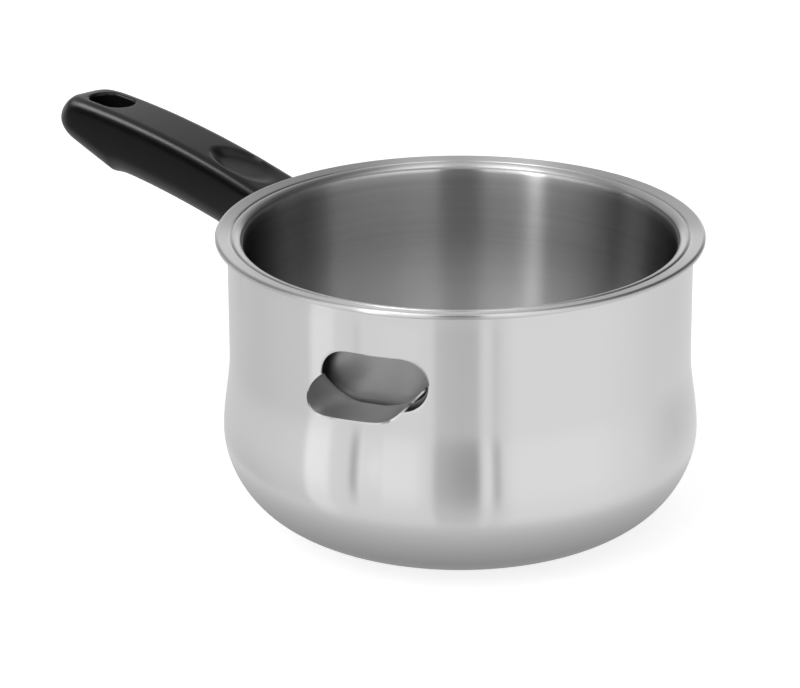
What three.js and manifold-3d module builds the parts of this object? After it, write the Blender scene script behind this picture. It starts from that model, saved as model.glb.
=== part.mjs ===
// Double boiler: a one-piece pan with two walls. A straight inner vessel hangs by its rim inside
// a bellied outer shell. Water goes into the jacket between them through a lipped opening in the
// side, and a moulded grip is screwed to the tang of a bracket that is welded to the shell.
// Millimetres, +Z up, origin on the pan's axis at the face it stands on, handle along -X.

import * as THREE from 'three';
import { mergeVertices } from 'three/addons/utils/BufferGeometryUtils.js';
import Module from 'manifold-3d';

// Clearance between neighbouring pieces
const fitGap = 0.3;

// Inner vessel, measured inside
const vesselRadius = 80;
const vesselDepth = 88;
const vesselSheet = 0.8;
const floorCorner = 12;

// Rim, from the vessel's wall outwards: rounded shoulder, groove, flat flange, hemmed edge
const shoulderWidth = 3.6;
const shoulderDrop = 3.4;
const grooveWidth = 1.0;
const grooveDepth = 0.45;
const flangeWidth = 5.4;
const hemRadius = 1.0;

// Outer shell, heights measured from its own flat bottom
const shellSheet = 0.8;
const jacketGap = 4.0;
const jacketFloorGap = 19.8;
const footRadius = 50.4;
const bellySwell = 2.8;
const bellyHeight = 33.4;
const bellyFullness = 2.3;
const bellyDepthFullness = 1.79;
const waistHeight = 64;
const flangeFillet = 1.2;

// Base: an aluminium disc closed in by a thin steel cap
const baseInset = 2.4;
const coreThickness = 2.4;
const capSheet = 0.6;
const capEdge = 1.6;

// Side opening and its lip
const spoutAzimuth = -62.85;
const spoutDrop = 29;
const spoutStraight = 20.8;
const spoutRadius = 9.85;
const tabWidth = 10;
const slitWidth = 1.5;
const lipSheet = 0.7;
const lipRoot = 0.6;
const lipReach = 21.7;
const lipSag = 6.3;
const lipTuck = 2.2;
const lipBlunt = 0.05;

// Shape of the lip: how square it is in plan, how late it dips, and where it bends away from the
// wall, as shares of the way from its root to its edge
const lipSquareness = 5.6;
const lipSagPower = 4;
const lipBendOut = 0.12;
const lipBendUp = 0.5;

// Handle grip, lengths measured from the shell's wall or back from the tail's end
const handleAzimuth = 180;
const handleReach = 154.6;
const gripWidth = 25.2;
const gripRootWidth = 26;
const gripFlare = 40;
const gripDepth = 25.3;
const topEdgeRadius = 3.5;
const tailEdgeRadius = 13.5;
const bottomEdgeRadius = 8;
const archRadius = 610;
const crestRise = 1.3;
const crestBack = 21;
const hookBack = 37.5;
const hookDrop = 1.2;
const hookEase = 12;
const tailSlope = 14.5;
const tailRound = 14.5;
const tailSquareness = 2.7;
const tailBlunt = 0.05;
const hangHoleLength = 22;
const hangHoleWidth = 13;
const hangHoleBack = 26;
const dishFromWall = 42.6;
const dishLength = 40;
const dishWidth = 18;
const dishDepth = 2.6;
const dishLift = 1.2;

// Bracket and its screw
const plateWidth = 22;
const plateHeight = 18;
const plateThickness = 1.5;
const tangWidth = 14;
const tangThickness = 5;
const tangLength = 44;
const screwFromWall = 28;
const screwRadius = 2.2;
const screwHeadRadius = 4;
const screwHeadHeight = 2.4;
const screwHeadCrown = 0.8;
const screwLand = 3;
const washerThickness = 0.8;
const washerMargin = 0.6;

// Heights and radii that follow from the sizes above
const shellBottom = capSheet + fitGap + coreThickness + fitGap;
const vesselFloor = shellBottom + shellSheet + jacketFloorGap + vesselSheet;
const rimTop = vesselFloor + vesselDepth;
const rimRadius = vesselRadius + shoulderWidth + grooveWidth + flangeWidth;
const shellRadius = vesselRadius + vesselSheet + jacketGap + shellSheet;
const spoutHeight = rimTop - spoutDrop;
const tailEnd = shellRadius + handleReach;
const gripRoot = shellRadius + fitGap + plateThickness + fitGap;
const gripStart = Math.sqrt(gripRoot ** 2 - (gripRootWidth / 2) ** 2) - fitGap;

// Smoothness of the round forms
const roundSteps = 60;
const arcSteps = 5;
const filletSteps = 3;
const holeSteps = 24;
const cutSteps = 12;

const wasm = await Module();
wasm.setup();

const polishedSteel = new THREE.MeshStandardMaterial({ color: 0xc9cac9, roughness: 0.18, metalness: 1 });
const satinSteel = new THREE.MeshStandardMaterial({ color: 0xa9aaa9, roughness: 0.38, metalness: 1 });
const aluminium = new THREE.MeshStandardMaterial({ color: 0xb9bbbd, roughness: 0.5, metalness: 1 });
const zincSteel = new THREE.MeshStandardMaterial({ color: 0x9ea0a2, roughness: 0.4, metalness: 1 });
const blackPhenolic = new THREE.MeshStandardMaterial({ color: 0x1b1b1c, roughness: 0.42, metalness: 0 });

// Points on an elliptical arc in the (radius, height) plane, angles in degrees
function arc(centreR, centreZ, radiusR, radiusZ, fromDegrees, toDegrees, steps = arcSteps) {
  const points = [];
  for (let i = 0; i <= steps; i++) {
    const angle = THREE.MathUtils.degToRad(fromDegrees + ((toDegrees - fromDegrees) * i) / steps);
    points.push(new THREE.Vector2(centreR + radiusR * Math.cos(angle), centreZ + radiusZ * Math.sin(angle)));
  }
  return points;
}

// A path moved sideways by a distance, to the left of its direction; a point on the axis stays on it
function offsetPath(path, distance) {
  return path.map((point, i) => {
    const into = point.clone().sub(path[Math.max(i - 1, 0)]).normalize();
    const out = path[Math.min(i + 1, path.length - 1)].clone().sub(point).normalize();
    const along = into.add(out).normalize();
    const moved = new THREE.Vector2(point.x - distance * along.y, point.y + distance * along.x);
    return point.x === 0 ? moved.setX(0) : moved;
  });
}

// A body of revolution about Z from a closed outline, or one that starts and ends on the axis
function revolve(outline, steps = roundSteps) {
  return new THREE.LatheGeometry(outline, steps).rotateX(Math.PI / 2);
}

// Shared vertices merged, and the empty triangles at the axis dropped
function weld(geometry) {
  const bare = geometry.clone();
  bare.deleteAttribute('normal');
  bare.deleteAttribute('uv');
  const welded = mergeVertices(bare, 1e-4);
  const corners = welded.index.array;
  const kept = [];
  for (let i = 0; i < corners.length; i += 3) {
    const [a, b, c] = corners.slice(i, i + 3);
    if (a !== b && b !== c && c !== a) kept.push(a, b, c);
  }
  welded.setIndex(kept);
  return welded;
}

function toSolid(geometry) {
  const welded = weld(geometry);
  return new wasm.Manifold(new wasm.Mesh({
    numProp: 3,
    vertProperties: new Float32Array(welded.attributes.position.array),
    triVerts: new Uint32Array(welded.index.array),
  }));
}

function toGeometry(solid) {
  const mesh = solid.getMesh();
  const geometry = new THREE.BufferGeometry();
  geometry.setAttribute('position', new THREE.BufferAttribute(mesh.vertProperties, 3));
  geometry.setIndex(new THREE.BufferAttribute(mesh.triVerts, 1));
  return geometry;
}

// A closed skin over a row of rings with equal point counts, each end closed by a fan
function loft(rings) {
  const count = rings[0].length;
  const points = rings.flat();
  const triangles = [];
  for (let i = 0; i + 1 < rings.length; i++) {
    for (let j = 0; j < count; j++) {
      const next = (j + 1) % count;
      const a = i * count + j;
      const b = i * count + next;
      triangles.push(a, b, b + count, a, b + count, a + count);
    }
  }
  [0, rings.length - 1].forEach((row, end) => {
    const centre = new THREE.Vector3();
    rings[row].forEach((point) => centre.addScaledVector(point, 1 / count));
    points.push(centre);
    for (let j = 0; j < count; j++) {
      const a = row * count + j;
      const b = row * count + ((j + 1) % count);
      triangles.push(points.length - 1, ...(end ? [a, b] : [b, a]));
    }
  });
  const geometry = new THREE.BufferGeometry().setFromPoints(points);
  geometry.setIndex(triangles);
  return geometry;
}

// A cylinder standing along Z, centred on the origin
function upright(radius, height, steps = holeSteps) {
  return new THREE.CylinderGeometry(radius, radius, height, steps).rotateX(Math.PI / 2);
}

// Rectangle with half-round ends, long side along X
function obround(length, width) {
  const half = (length - width) / 2;
  const shape = new THREE.Shape();
  shape.absarc(half, 0, width / 2, -Math.PI / 2, Math.PI / 2);
  shape.absarc(-half, 0, width / 2, Math.PI / 2, (3 * Math.PI) / 2);
  return shape;
}

// Outer face of the shell from the axis to the flange's edge, up and outwards
function shellPath() {
  const path = [new THREE.Vector2(0, shellBottom)];
  const bellySteps = 9;
  for (let i = 0; i <= bellySteps; i++) {
    const angle = (Math.PI / 2) * (1 - i / bellySteps);
    const reach = Math.max(Math.cos(angle), 0) ** (2 / bellyFullness);
    const drop = Math.sin(angle) ** (2 / bellyDepthFullness);
    const swell = shellRadius + bellySwell - footRadius;
    path.push(new THREE.Vector2(footRadius + swell * reach, shellBottom + bellyHeight * (1 - drop)));
  }
  const waistSteps = 6;
  for (let i = 1; i <= waistSteps; i++) {
    const t = i / waistSteps;
    const swell = (bellySwell * (1 + Math.cos(Math.PI * t))) / 2;
    const height = bellyHeight + (waistHeight - bellyHeight) * t;
    path.push(new THREE.Vector2(shellRadius + swell, shellBottom + height));
  }
  const flangeUnder = rimTop - vesselSheet - fitGap - shellSheet;
  const filletR = shellRadius + flangeFillet;
  const filletZ = flangeUnder - flangeFillet;
  path.push(...arc(filletR, filletZ, flangeFillet, flangeFillet, 180, 90, filletSteps));
  path.push(new THREE.Vector2(rimRadius - vesselSheet - fitGap, flangeUnder));
  return path;
}

// The opening: an obround whose lower straight edge stays as a tab for the lip, with a slit
// beside each end of the tab
function spoutCutter() {
  const half = spoutStraight / 2;
  const tab = spoutRadius - slitWidth;
  const shape = new THREE.Shape();
  shape.moveTo(-tabWidth / 2, -spoutRadius);
  shape.lineTo(-tabWidth / 2, -tab);
  shape.lineTo(tabWidth / 2, -tab);
  shape.lineTo(tabWidth / 2, -spoutRadius);
  shape.absarc(half, 0, spoutRadius, -Math.PI / 2, Math.PI / 2);
  shape.absarc(-half, 0, spoutRadius, Math.PI / 2, (3 * Math.PI) / 2);
  const depth = shellRadius + lipReach - vesselRadius;
  const cutter = new THREE.ExtrudeGeometry(shape, { depth, bevelEnabled: false, curveSegments: cutSteps });
  return cutter.translate(0, 0, vesselRadius);
}

// The lip: sheet pressed out of the wall below the opening. Each section across it runs from the
// tab, or from a slit, to the free edge, which reaches furthest in the middle and dips there.
function lipGeometry() {
  const half = tabWidth / 2;
  const tip = spoutStraight / 2 + spoutRadius - fitGap;
  const tab = spoutRadius - slitWidth;
  const midSheet = -shellSheet / 2;
  const sections = 24;
  const steps = 6;
  const rings = [];
  for (let i = 0; i <= sections; i++) {
    const across = (tip - lipBlunt) * Math.sin((Math.PI / 2) * ((2 * i) / sections - 1));
    const pastTab = Math.max(Math.abs(across) - half, 0) / (tip - half);
    const reach = 1 - (Math.abs(across) / tip) ** lipSquareness;
    const fall = Math.sqrt(1 - pastTab * pastTab);
    const back = new THREE.Vector2(midSheet - lipTuck * 2 * pastTab * fall, -tab * fall);
    const front = new THREE.Vector2(midSheet + lipReach * reach, -lipSag * reach ** lipSagPower);
    const bend = new THREE.Vector2(
      back.x + (front.x - back.x) * lipBendOut,
      back.y + (front.y - back.y) * lipBendUp,
    );
    const line = new THREE.QuadraticBezierCurve(back, bend, front).getPoints(steps);
    if (pastTab === 0) line[0].y -= lipRoot;
    const upper = offsetPath(line, lipSheet / 2);
    const lower = offsetPath(line, -lipSheet / 2).reverse();
    rings.push([...upper, ...lower].map((point) => {
      const turn = across / shellRadius;
      const radius = shellRadius + point.x;
      return new THREE.Vector3(radius * Math.sin(turn), point.y, radius * Math.cos(turn));
    }));
  }
  return loft(rings);
}

function outerShell() {
  const outer = shellPath();
  const inner = offsetPath(outer, shellSheet).reverse();
  const azimuth = THREE.MathUtils.degToRad(spoutAzimuth);
  const outwards = new THREE.Vector3(Math.cos(azimuth), Math.sin(azimuth), 0);
  const sideways = new THREE.Vector3(-Math.sin(azimuth), Math.cos(azimuth), 0);
  const place = new THREE.Matrix4().makeBasis(sideways, new THREE.Vector3(0, 0, 1), outwards);
  place.setPosition(0, 0, spoutHeight);
  const shell = toSolid(revolve([...outer, ...inner]));
  const cutter = toSolid(spoutCutter().applyMatrix4(place));
  const lip = toSolid(lipGeometry().applyMatrix4(place));
  return toGeometry(shell.subtract(cutter).add(lip));
}

// Upper face of the vessel from the axis over its floor, wall, shoulder, groove and flange to the
// hemmed edge, which closes round the shell's flange
function innerVessel() {
  const grooveStart = vesselRadius + shoulderWidth;
  const hemEnd = rimTop - vesselSheet - fitGap - shellSheet;
  const upper = [
    new THREE.Vector2(0, vesselFloor),
    ...arc(vesselRadius - floorCorner, vesselFloor + floorCorner, floorCorner, floorCorner, -90, 0),
    ...arc(grooveStart, rimTop - shoulderDrop, shoulderWidth, shoulderDrop, 180, 90),
    new THREE.Vector2(grooveStart + grooveWidth / 2, rimTop - grooveDepth),
    new THREE.Vector2(grooveStart + grooveWidth, rimTop),
    ...arc(rimRadius - hemRadius, rimTop - hemRadius, hemRadius, hemRadius, 90, 0, filletSteps),
    new THREE.Vector2(rimRadius, hemEnd),
  ];
  const under = offsetPath(upper, -vesselSheet);
  return weld(revolve([...under, ...upper.reverse()]));
}

function baseCore() {
  const radius = footRadius - baseInset - capSheet - fitGap;
  const low = capSheet + fitGap;
  return weld(revolve([
    new THREE.Vector2(0, low),
    new THREE.Vector2(radius - capEdge, low),
    new THREE.Vector2(radius, low + capEdge),
    new THREE.Vector2(radius, low + coreThickness),
    new THREE.Vector2(0, low + coreThickness),
  ]));
}

function baseCap() {
  const radius = footRadius - baseInset;
  const top = shellBottom - fitGap;
  const outer = [
    new THREE.Vector2(0, 0),
    ...arc(radius - capEdge, capEdge, capEdge, capEdge, -90, 0, filletSteps),
    new THREE.Vector2(radius, top),
  ];
  const inner = offsetPath(outer, capSheet).reverse();
  return weld(revolve([...outer, ...inner]));
}

// Height of the arch that the grip's top line follows, with its crest near the tail
function gripArch(x) {
  const fromCrest = tailEnd - crestBack - x;
  return rimTop + crestRise - archRadius + Math.sqrt(archRadius ** 2 - fromCrest ** 2);
}

// Height of the grip's underside, which eases down to the hook and turns up from it to the tail's end
function gripBottom(x) {
  const hook = tailEnd - hookBack;
  const nose = hookDrop * Math.max(1 - Math.max(hook - x, 0) / hookEase, 0) ** 2;
  const rise = Math.max(x - hook, 0) * Math.tan(THREE.MathUtils.degToRad(tailSlope));
  return gripArch(Math.min(x, hook)) - gripDepth - nose + rise;
}

// How far a section lies into the rounded tail, 0 before it and 1 at its end
function intoTail(x) {
  return Math.max(x - (tailEnd - tailRound), 0) / tailRound;
}

// How much of the full section is left there, 1 before the tail rounds off and 0 at its end
function tailShare(x) {
  return (1 - intoTail(x) ** tailSquareness) ** (1 / tailSquareness);
}

// Half the grip's width, flared towards the pan and rounded in plan at the tail
function gripHalfWidth(x) {
  const toRoot = THREE.MathUtils.clamp((gripRoot + gripFlare - x) / gripFlare, 0, 1);
  return (tailShare(x) * (gripWidth + (gripRootWidth - gripWidth) * toRoot * toRoot)) / 2;
}

// One cross-section of the grip, counter-clockwise seen from the tail
function gripRing(x) {
  const half = gripHalfWidth(x);
  const tall = ((gripArch(x) - gripBottom(x)) / 2) * tailShare(x);
  const middle = gripBottom(x) + tall;
  const topEdge = topEdgeRadius + (tailEdgeRadius - topEdgeRadius) * intoTail(x);
  const topRadius = Math.min(topEdge, half, tall);
  const lowRadius = Math.min(bottomEdgeRadius, half, tall);
  const corners = [
    arc(half - lowRadius, middle - tall + lowRadius, lowRadius, lowRadius, -90, 0),
    arc(half - topRadius, middle + tall - topRadius, topRadius, topRadius, 0, 90),
    arc(topRadius - half, middle + tall - topRadius, topRadius, topRadius, 90, 180),
    arc(lowRadius - half, middle - tall + lowRadius, lowRadius, lowRadius, 180, 270),
  ];
  return corners.flat().map((point) => new THREE.Vector3(x, point.x, point.y));
}

const tangHeight = gripArch(gripRoot + tangLength / 2) - gripDepth / 2;
const tangEnd = gripRoot + tangLength;
const screwX = shellRadius + screwFromWall;
const screwSeat = tangHeight - tangThickness / 2 - fitGap - screwLand;
const screwHeadTop = screwSeat - fitGap - washerThickness - fitGap;
const washerRadius = screwHeadRadius + washerMargin;

function gripGeometry() {
  const bodySteps = 12;
  const tailSteps = 8;
  const roundStart = tailEnd - tailRound;
  const stations = [];
  for (let i = 0; i < bodySteps; i++) stations.push(gripStart + ((roundStart - gripStart) * i) / bodySteps);
  for (let i = 0; i <= tailSteps; i++) {
    const along = Math.sin((Math.PI / 2) * (i / tailSteps));
    stations.push(roundStart + (tailRound - tailBlunt) * along);
  }
  stations.push(tailEnd - hookBack, tailEnd - hookBack - hookEase / 2);
  stations.sort((a, b) => a - b);
  const body = toSolid(loft(stations.map(gripRing)));

  const tall = gripDepth * 3;
  const wall = upright(gripRoot, tall, roundSteps).translate(0, 0, tangHeight);

  const socketLength = tangLength + fitGap + gripWidth;
  const socket = new THREE.BoxGeometry(socketLength, tangWidth + 2 * fitGap, tangThickness + 2 * fitGap);
  socket.translate(tangEnd + fitGap - socketLength / 2, 0, tangHeight);

  const hangHole = new THREE.ExtrudeGeometry(obround(hangHoleLength, hangHoleWidth), {
    depth: tall, bevelEnabled: false, curveSegments: cutSteps,
  });
  hangHole.translate(tailEnd - hangHoleBack, 0, gripArch(tailEnd - hangHoleBack) - tall / 2);

  const dishX = shellRadius + dishFromWall;
  const spread = 1 / Math.sqrt(1 - (dishLift / (dishLift + dishDepth)) ** 2);
  const dish = new THREE.SphereGeometry(1, 24, 16);
  dish.scale((dishLength / 2) * spread, (dishWidth / 2) * spread, dishLift + dishDepth);
  dish.rotateY(-Math.asin((tailEnd - crestBack - dishX) / archRadius));
  dish.translate(dishX, 0, gripArch(dishX) + dishLift);

  const screwHole = upright(screwRadius + fitGap, tall);
  screwHole.translate(screwX, 0, tangHeight - tall / 2);
  const counterbore = upright(washerRadius + fitGap, tall);
  counterbore.translate(screwX, 0, screwSeat - tall / 2);

  const cutters = [wall, socket, hangHole, dish, screwHole, counterbore].map(toSolid);
  return toGeometry(cutters.reduce((left, cutter) => left.subtract(cutter), body));
}

// Saddle plate that follows the wall, with the tang standing out of it
function bracketGeometry() {
  const inner = shellRadius + fitGap;
  const outer = inner + plateThickness;
  const spread = plateWidth / 2 / inner;
  const saddle = new THREE.Shape();
  saddle.absarc(0, 0, outer, -spread, spread);
  saddle.absarc(0, 0, inner, spread, -spread, true);
  const plate = new THREE.ExtrudeGeometry(saddle, {
    depth: plateHeight, bevelEnabled: false, curveSegments: cutSteps,
  });
  plate.translate(0, 0, tangHeight - plateHeight / 2);
  const overlap = plateThickness / 2;
  const tang = new THREE.BoxGeometry(tangEnd - outer + overlap, tangWidth, tangThickness);
  tang.translate((tangEnd + outer - overlap) / 2, 0, tangHeight);
  const hole = upright(screwRadius + fitGap, 2 * tangThickness).translate(screwX, 0, tangHeight);
  return toGeometry(toSolid(plate).add(toSolid(tang)).subtract(toSolid(hole)));
}

function screwGeometry() {
  return weld(revolve([
    new THREE.Vector2(0, screwHeadTop - screwHeadHeight),
    new THREE.Vector2(screwHeadRadius - screwHeadCrown, screwHeadTop - screwHeadHeight),
    new THREE.Vector2(screwHeadRadius, screwHeadTop - screwHeadHeight + screwHeadCrown),
    new THREE.Vector2(screwHeadRadius, screwHeadTop),
    new THREE.Vector2(screwRadius, screwHeadTop),
    new THREE.Vector2(screwRadius, tangHeight + tangThickness / 2),
    new THREE.Vector2(0, tangHeight + tangThickness / 2),
  ], holeSteps)).translate(screwX, 0, 0);
}

function washerGeometry() {
  const low = screwHeadTop + fitGap;
  const hole = screwRadius + fitGap;
  return weld(revolve([
    new THREE.Vector2(hole, low),
    new THREE.Vector2(washerRadius, low),
    new THREE.Vector2(washerRadius, low + washerThickness),
    new THREE.Vector2(hole, low + washerThickness),
    new THREE.Vector2(hole, low),
  ], holeSteps)).translate(screwX, 0, 0);
}

function piece(name, geometry, material) {
  const mesh = new THREE.Mesh(geometry, material);
  mesh.name = name;
  return mesh;
}

const handle = new THREE.Group();
handle.rotation.z = THREE.MathUtils.degToRad(handleAzimuth);
handle.add(
  piece('handle_bracket', bracketGeometry(), satinSteel),
  piece('handle_grip', gripGeometry(), blackPhenolic),
  piece('handle_screw', screwGeometry(), zincSteel),
  piece('screw_washer', washerGeometry(), zincSteel),
);

const doubleBoiler = new THREE.Group();
doubleBoiler.add(
  piece('outer_shell', outerShell(), polishedSteel),
  piece('inner_vessel', innerVessel(), satinSteel),
  piece('base_core', baseCore(), aluminium),
  piece('base_cap', baseCap(), polishedSteel),
  handle,
);

export default doubleBoiler;
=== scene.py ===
# Double boiler: a pan with two walls. A straight satin vessel hangs by its rim inside a polished, bellied
# shell, water goes into the jacket between them through a lipped opening in the side, and a black moulded
# grip is screwed to a bracket on the shell. Sizes are in millimetres times mm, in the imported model's frame.

import math

import bmesh
import bpy
from mathutils import Matrix, Vector


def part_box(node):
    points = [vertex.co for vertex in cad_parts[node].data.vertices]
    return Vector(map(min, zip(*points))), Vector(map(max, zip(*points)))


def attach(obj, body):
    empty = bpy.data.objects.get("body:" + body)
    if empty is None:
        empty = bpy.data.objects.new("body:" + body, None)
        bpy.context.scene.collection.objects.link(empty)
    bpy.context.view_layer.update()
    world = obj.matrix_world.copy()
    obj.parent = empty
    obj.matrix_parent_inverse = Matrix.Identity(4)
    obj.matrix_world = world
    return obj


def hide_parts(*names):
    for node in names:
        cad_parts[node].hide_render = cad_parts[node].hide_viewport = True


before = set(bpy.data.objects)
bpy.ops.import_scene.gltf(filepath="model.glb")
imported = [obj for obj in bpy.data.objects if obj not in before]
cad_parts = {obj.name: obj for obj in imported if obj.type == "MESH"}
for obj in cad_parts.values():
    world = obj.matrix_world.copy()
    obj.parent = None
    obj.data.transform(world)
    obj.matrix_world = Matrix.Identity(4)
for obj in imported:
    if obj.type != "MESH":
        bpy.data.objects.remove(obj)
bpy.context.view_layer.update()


# Camera: the photograph's view, through a long lens that looks down on the rim by about twenty degrees.
# The pan's axis stands right of the middle of the frame, which is what the small sideways shift is for.

mm = 0.001
photo_width = 800
axis_column = 460.2
focal_pixels = 3537.8
film_width = 36
camera_place = Vector((917.6, -817.6, 535.9)) * mm
camera_turn = math.radians(48.3)
camera_dip = math.radians(20.838)

lens = bpy.data.cameras.new("camera")
lens.sensor_fit = "HORIZONTAL"
lens.sensor_width = film_width
lens.lens = film_width * focal_pixels / photo_width
lens.shift_x = (photo_width / 2 - axis_column) / photo_width
camera = bpy.data.objects.new("camera", lens)
camera.location = camera_place
camera.rotation_euler = (math.pi / 2 - camera_dip, 0, camera_turn)
bpy.context.scene.collection.objects.link(camera)
bpy.context.scene.camera = camera
bpy.context.scene.view_settings.view_transform = "Standard"


# Studio: a white paper sweep inside a ring of light panels and dark gaps, seen only as light and reflections.
# The panels' grey levels go by direction: degrees round the pan from the camera, positive to the picture's
# right. Each layer of panels fades in over the one below it, between two heights in degrees.

def linear(colour):
    """Turns an sRGB hex colour into linear red, green, blue and alpha."""
    shares = [int(colour[i:i + 2], 16) / 255 for i in (1, 3, 5)]
    return [s / 12.92 if s <= 0.04045 else ((s + 0.055) / 1.055) ** 2.4 for s in shares] + [1]


def add_node(tree, kind, inputs=None, stops=None, **settings):
    """Adds a node with its settings. Inputs are values or other nodes' sockets, stops are a ramp's."""
    node = tree.nodes.new(kind)
    for name, value in settings.items():
        setattr(node, name, value)
    for socket, value in (inputs or {}).items():
        if isinstance(value, bpy.types.NodeSocket):
            tree.links.new(value, node.inputs[socket])
        else:
            node.inputs[socket].default_value = value
    if stops:
        points = node.color_ramp.elements
        points.remove(points[1])
        for i, (place, grey) in enumerate(stops):
            point = points.new(place) if i else points[0]
            point.position = place
            point.color = (grey, grey, grey, 1)
    return node


def round_the_pan(levels):
    """Ramp stops from pairs of degrees and grey level."""
    return [((degrees + 180) / 360, grey) for degrees, grey in levels]


def rise(degrees):
    """Height of a direction that stands this many degrees above the horizon."""
    return math.sin(math.radians(degrees))


table_levels = round_the_pan([
    (-180, 0.66), (-150, 0.68), (-118, 0.66), (-98, 0.72), (-80, 0.74), (-77, 0.95), (-66, 0.93),
    (-63, 0.84), (-14, 0.85), (-11, 0.70), (0, 0.66), (8, 0.68), (10, 0.79), (12, 0.86), (15, 0.84),
    (17, 0.78), (20, 0.82), (27, 0.90), (75, 0.90), (110, 0.82), (147, 0.80), (180, 0.74),
])
panel_levels = round_the_pan([
    (-180, 0.80), (-100, 0.81), (-80, 0.85), (-77, 1.12), (-66, 1.08), (-63, 0.88), (-54, 0.86),
    (-52, 0.50), (-50, 0.50), (-48, 0.98), (-45, 0.86), (-38, 0.87), (-36, 0.99), (-22, 0.99),
    (-19, 0.92), (-14, 0.84), (-11, 0.60), (0, 0.48), (8, 0.43), (10.5, 0.92), (14, 0.95), (16, 0.55),
    (18, 0.55), (20, 0.86), (26, 0.95), (65, 0.98), (95, 0.88), (125, 0.66), (180, 0.64),
])
backdrop_levels = round_the_pan([
    (-180, 1.20), (-165, 1.00), (-150, 0.06), (-102, 0.06), (-85, 0.35), (-60, 1.00), (-46, 1.00),
    (-44, 5.00), (-39, 5.00), (-37, 1.10), (-14, 1.10), (-11, 0.04), (10, 0.04), (13, 1.20), (45, 1.00),
    (62, 0.65), (85, 0.20), (110, 0.04), (150, 0.04), (165, 1.00), (180, 1.20),
])
softbox_levels = round_the_pan([
    (-180, 0.50), (-152, 0.50), (-142, 0.55), (-112, 0.15), (-100, 0.25), (-60, 1.10), (-46, 1.10),
    (-44, 6.00), (-39, 6.00), (-37, 1.10), (-14, 1.10), (-11, 0.08), (10, 0.08), (13, 1.10), (45, 0.95),
    (85, 0.18), (110, 0.05), (150, 0.05), (168, 0.50), (180, 0.50),
])
high_levels = round_the_pan([
    (-180, 0.50), (-105, 0.25), (-62, 1.70), (-46, 1.60), (-44, 7.00), (-39, 7.00), (-37, 1.60),
    (-14, 1.60), (-11, 0.35), (10, 0.35), (13, 1.60), (45, 1.50), (70, 0.50), (100, 0.05), (150, 0.05),
    (180, 0.50),
])
zenith_levels = round_the_pan([(0, 1.00)])
layers = (
    (-24, -10, panel_levels), (-2, 6, backdrop_levels), (12, 20, softbox_levels), (44, 54, high_levels),
    (68, 82, zenith_levels),
)
under_pan_level = 0.25
under_pan_heights = (-75, -40)

world = bpy.data.worlds.new("studio")
world.use_nodes = True
bpy.context.scene.world = world
tree = world.node_tree
tree.nodes.clear()
away = add_node(tree, "ShaderNodeTexCoord").outputs["Generated"]
turned = add_node(tree, "ShaderNodeVectorRotate", {
    "Vector": away, "Angle": -camera_turn,
}, rotation_type="Z_AXIS").outputs[0]
sides = add_node(tree, "ShaderNodeSeparateXYZ", {0: turned}).outputs
near = add_node(tree, "ShaderNodeMath", {0: sides["Y"], 1: -1}, operation="MULTIPLY").outputs[0]
bearing = add_node(tree, "ShaderNodeMath", {0: sides["X"], 1: near}, operation="ARCTAN2").outputs[0]
share = add_node(tree, "ShaderNodeMapRange", {
    "Value": bearing, "From Min": -math.pi, "From Max": math.pi,
}).outputs[0]
table = add_node(tree, "ShaderNodeValToRGB", {0: share}, table_levels).outputs[0]
under_pan = add_node(tree, "ShaderNodeMapRange", {
    "Value": sides["Z"], "From Min": rise(under_pan_heights[0]), "From Max": rise(under_pan_heights[1]),
    "To Min": under_pan_level,
}, interpolation_type="SMOOTHSTEP").outputs[0]
light = add_node(tree, "ShaderNodeMath", {0: table, 1: under_pan}, operation="MULTIPLY").outputs[0]
for start, full, levels in layers:
    above = add_node(tree, "ShaderNodeMapRange", {
        "Value": sides["Z"], "From Min": rise(start), "From Max": rise(full),
    }, interpolation_type="SMOOTHSTEP").outputs[0]
    ring = add_node(tree, "ShaderNodeValToRGB", {0: share}, levels).outputs[0]
    light = add_node(tree, "ShaderNodeMix", {"Factor": above, "A": light, "B": ring}).outputs[0]
seen = add_node(tree, "ShaderNodeLightPath").outputs["Is Camera Ray"]
shown = add_node(tree, "ShaderNodeMix", {"Factor": seen, "A": light, "B": 1.0}).outputs[0]
sky = add_node(tree, "ShaderNodeBackground", {"Color": shown})
add_node(tree, "ShaderNodeOutputWorld", {"Surface": sky.outputs[0]})


def blank_material(name):
    """Starts a material. Gives it back with its empty node tree."""
    material = bpy.data.materials.new(name)
    material.use_nodes = True
    material.node_tree.nodes.clear()
    return material, material.node_tree


def rectangle(name, middle, along, across):
    """The mesh of a flat card, from its middle and half its length and width."""
    corners = [middle + along * i + across * j for i, j in ((-1, -1), (1, -1), (1, 1), (-1, 1))]
    mesh = bpy.data.meshes.new(name)
    mesh.from_pydata(corners, [], [(0, 1, 2, 3)])
    return mesh


def stand_card(mesh, finish, unseen_by):
    """Stands a card in the studio, out of sight of the named kinds of ray."""
    mesh.materials.append(finish)
    card = bpy.data.objects.new(mesh.name, mesh)
    bpy.context.scene.collection.objects.link(card)
    for ray in unseen_by:
        setattr(card, "visible_" + ray, False)
    return card


# The paper is white to the camera, takes the pan's shadow and is clear from below.
floor_half = 4000 * mm
floor_drop = 0.2 * mm
floor_shade = "#d8d8d8"
floor_glow = 0.70

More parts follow.
